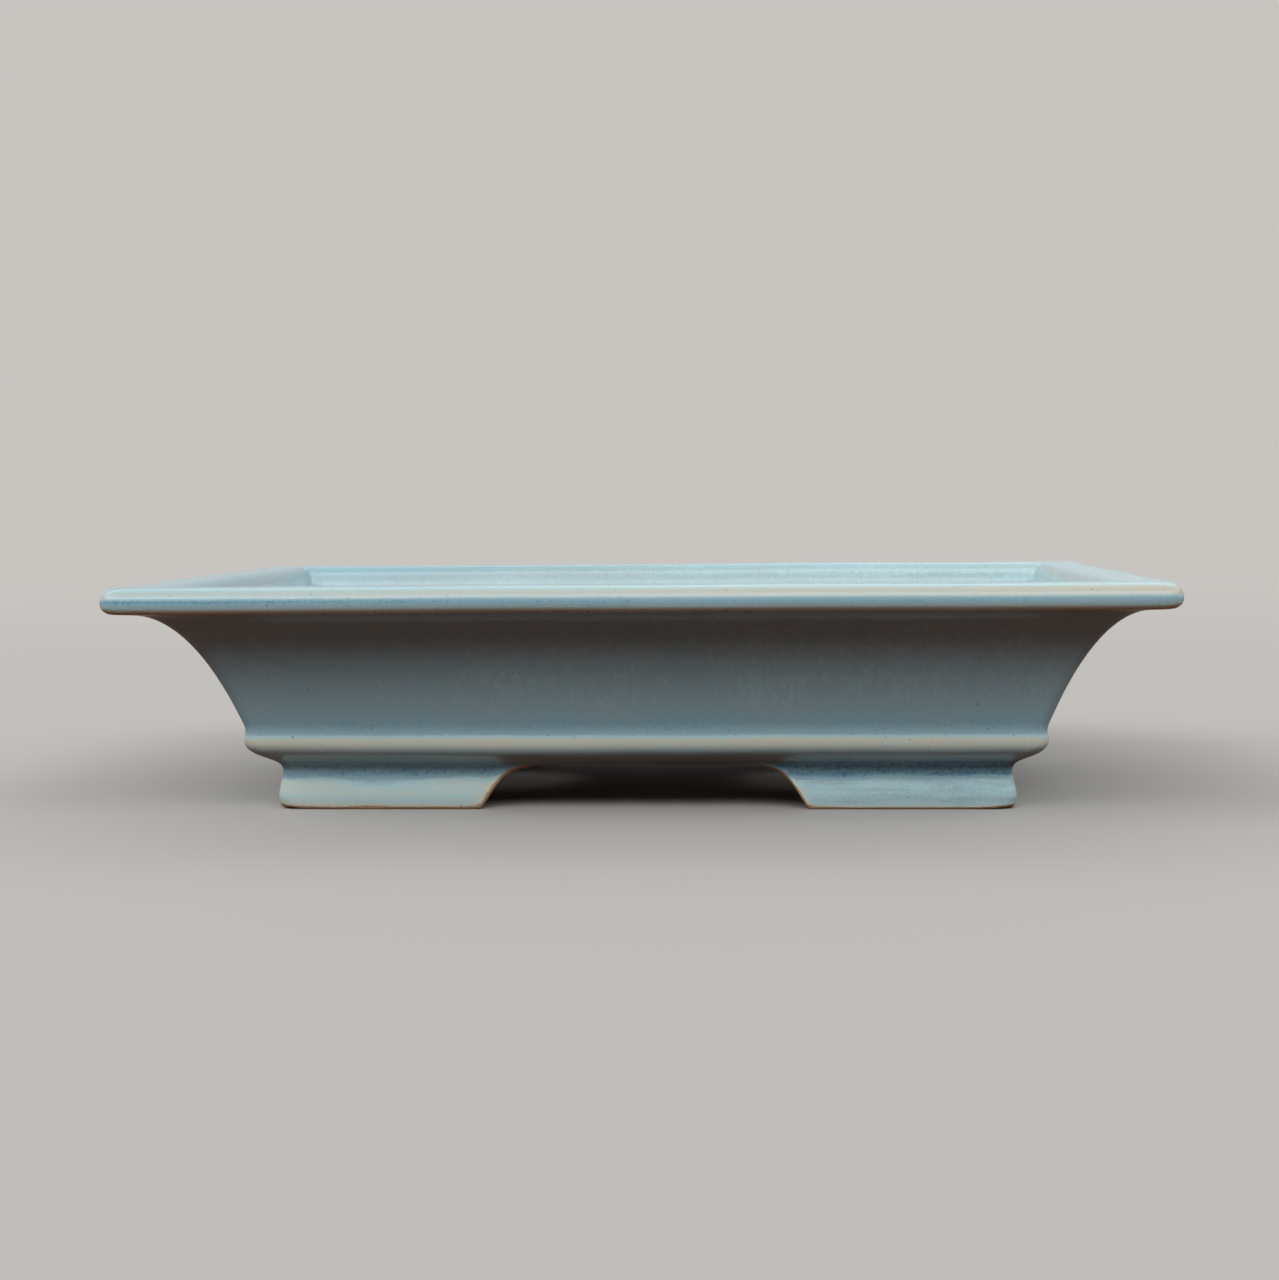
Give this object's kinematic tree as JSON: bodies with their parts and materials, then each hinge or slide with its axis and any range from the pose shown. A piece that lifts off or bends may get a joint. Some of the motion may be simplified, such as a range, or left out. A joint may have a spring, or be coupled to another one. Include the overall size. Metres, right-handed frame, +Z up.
{
  "type": "bonsai pot",
  "caption": "Shallow rectangular glazed planting pot on L-shaped corner feet, with flaring coved walls, a wide flat lip, a rounded moulding round its base and mesh-covered drain holes.",
  "frame": {"origin": "on the ground under the middle of the pot", "axes": "+X along the pot's length, +Y from its front to its back, +Z up"},
  "size_m": [0.365, 0.275, 0.0816],
  "materials": {
    "lip_glaze": "glossy opaque pale sky-blue glaze, thinning to cream on the edges",
    "wall_glaze": "glossy opaque sky-blue glaze with fine dark specks",
    "tray_glaze": "glossy sky-blue glaze breaking to cream on the moulding, bare tan clay beneath",
    "foot_glaze": "glossy sky-blue glaze pooled darker under the moulding, bare tan clay on the soles",
    "net_plastic": "black moulded plastic net",
    "clip_wire": "dull bent aluminium wire"
  },
  "bodies": {
    "root": {"base_plate": "tray_glaze", "wall_front": "wall_glaze", "wall_back": "wall_glaze", "wall_left": "wall_glaze", "wall_right": "wall_glaze", "rim_front": "lip_glaze", "rim_back": "lip_glaze", "rim_left": "lip_glaze", "rim_right": "lip_glaze", "foot_front_left": "foot_glaze", "foot_front_right": "foot_glaze", "foot_back_left": "foot_glaze", "foot_back_right": "foot_glaze", "drain_screen_left": "net_plastic", "drain_screen_right": "net_plastic", "screen_clip_left": "clip_wire", "screen_clip_right": "clip_wire"}
  },
  "joints": []
}
